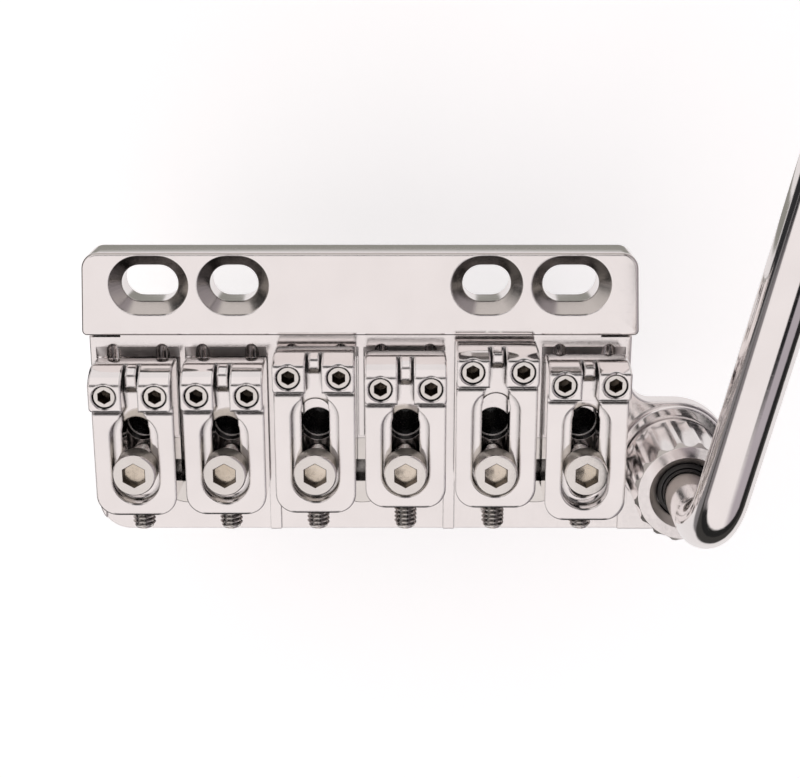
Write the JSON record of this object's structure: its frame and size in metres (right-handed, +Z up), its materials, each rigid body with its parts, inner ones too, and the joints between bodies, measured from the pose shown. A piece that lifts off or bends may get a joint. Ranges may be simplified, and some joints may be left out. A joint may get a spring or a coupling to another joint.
{
  "type": "guitar tremolo bridge",
  "caption": "Chromed floating guitar tremolo bridge: slotted mounting bar, tilting plate with sliding saddles, hidden string block, and a swivelling arm in a fluted nut.",
  "frame": {"origin": "middle of the line of mounting slots, on the bar's underside (the guitar's top)", "axes": "+X along the bar towards the arm, +Y towards the neck, +Z up from the guitar's top"},
  "size_m": [0.1018, 0.1305, 0.0787],
  "materials": {
    "chrome": "polished plating",
    "steel": "plated screws",
    "dark_steel": "black oxide",
    "bronze": "sintered bronze",
    "block_steel": "milled",
    "black_polymer": "matt",
    "tip_polymer": "satin"
  },
  "bodies": {
    "mount": {"mounting_bar": "chrome", "pivot_pins": "steel", "pin_set_screws": "dark_steel"},
    "bridge": {"base_plate": "chrome", "pivot_bushes": "bronze", "sustain_block": "block_steel", "block_screws": "steel", "lock_screws": "steel", "intonation_screws": "steel", "arm_socket": "steel", "arm_sleeve": "black_polymer"},
    "nut": {"tension_nut": "chrome"},
    "arm": {"tremolo_arm": "chrome", "arm_tip": "tip_polymer"},
    "height_1": {"height_screws_1": "steel"},
    "saddle_1": {"saddle_1": "chrome"},
    "height_2": {"height_screws_2": "steel"},
    "saddle_2": {"saddle_2": "chrome"},
    "height_3": {"height_screws_3": "steel"},
    "saddle_3": {"saddle_3": "chrome"},
    "height_4": {"height_screws_4": "steel"},
    "saddle_4": {"saddle_4": "chrome"},
    "height_5": {"height_screws_5": "steel"},
    "saddle_5": {"saddle_5": "chrome"},
    "height_6": {"height_screws_6": "steel"},
    "saddle_6": {"saddle_6": "chrome"}
  },
  "joints": [
    {"name": "bridge_tilt", "type": "hinge", "parent": "mount", "child": "bridge", "pos_m": [0, -0.00495, 0.0021], "axis": [-1, 0, 0], "range_deg": [-2.3, 15]},
    {"name": "arm_swivel", "type": "hinge", "parent": "bridge", "child": "arm", "pos_m": [0.0402, -0.0239, 0.02], "axis": [0, 0, 1], "continuous": true},
    {"name": "nut_turn", "type": "hinge", "parent": "bridge", "child": "nut", "pos_m": [0.0402, -0.0239, 0.0095], "axis": [0, 0, 1], "range_deg": [-180, 180]},
    {"name": "saddle_1_intonation", "type": "slide", "parent": "bridge", "child": "height_1", "axis": [0, 1, 0], "range_m": [-0.0025, 0.0012]},
    {"name": "saddle_1_height", "type": "hinge", "parent": "height_1", "child": "saddle_1", "pos_m": [-0.02825, -0.02655, 0.0052], "axis": [1, 0, 0], "range_deg": [-1.2, 0]},
    {"name": "saddle_2_intonation", "type": "slide", "parent": "bridge", "child": "height_2", "axis": [0, 1, 0], "range_m": [-0.0025, 0.001]},
    {"name": "saddle_2_height", "type": "hinge", "parent": "height_2", "child": "saddle_2", "pos_m": [-0.01695, -0.02645, 0.0052], "axis": [1, 0, 0], "range_deg": [-1.2, 0]},
    {"name": "saddle_3_intonation", "type": "slide", "parent": "bridge", "child": "height_3", "axis": [0, 1, 0], "range_m": [-0.0025, 0.0002]},
    {"name": "saddle_3_height", "type": "hinge", "parent": "height_3", "child": "saddle_3", "pos_m": [-0.00565, -0.02625, 0.0052], "axis": [1, 0, 0], "range_deg": [-1.2, 0]},
    {"name": "saddle_4_intonation", "type": "slide", "parent": "bridge", "child": "height_4", "axis": [0, 1, 0], "range_m": [-0.0025, 0.0003]},
    {"name": "saddle_4_height", "type": "hinge", "parent": "height_4", "child": "saddle_4", "pos_m": [0.00565, -0.02555, 0.0052], "axis": [1, 0, 0], "range_deg": [-1.2, 0]},
    {"name": "saddle_5_intonation", "type": "slide", "parent": "bridge", "child": "height_5", "axis": [0, 1, 0], "range_m": [-0.0025, 0]},
    {"name": "saddle_5_height", "type": "hinge", "parent": "height_5", "child": "saddle_5", "pos_m": [0.01695, -0.02555, 0.0052], "axis": [1, 0, 0], "range_deg": [-1.2, 0]},
    {"name": "saddle_6_intonation", "type": "slide", "parent": "bridge", "child": "height_6", "axis": [0, 1, 0], "range_m": [-0.0025, 0.0012]},
    {"name": "saddle_6_height", "type": "hinge", "parent": "height_6", "child": "saddle_6", "pos_m": [0.02825, -0.02725, 0.0052], "axis": [1, 0, 0], "range_deg": [-1.2, 0]}
  ]
}
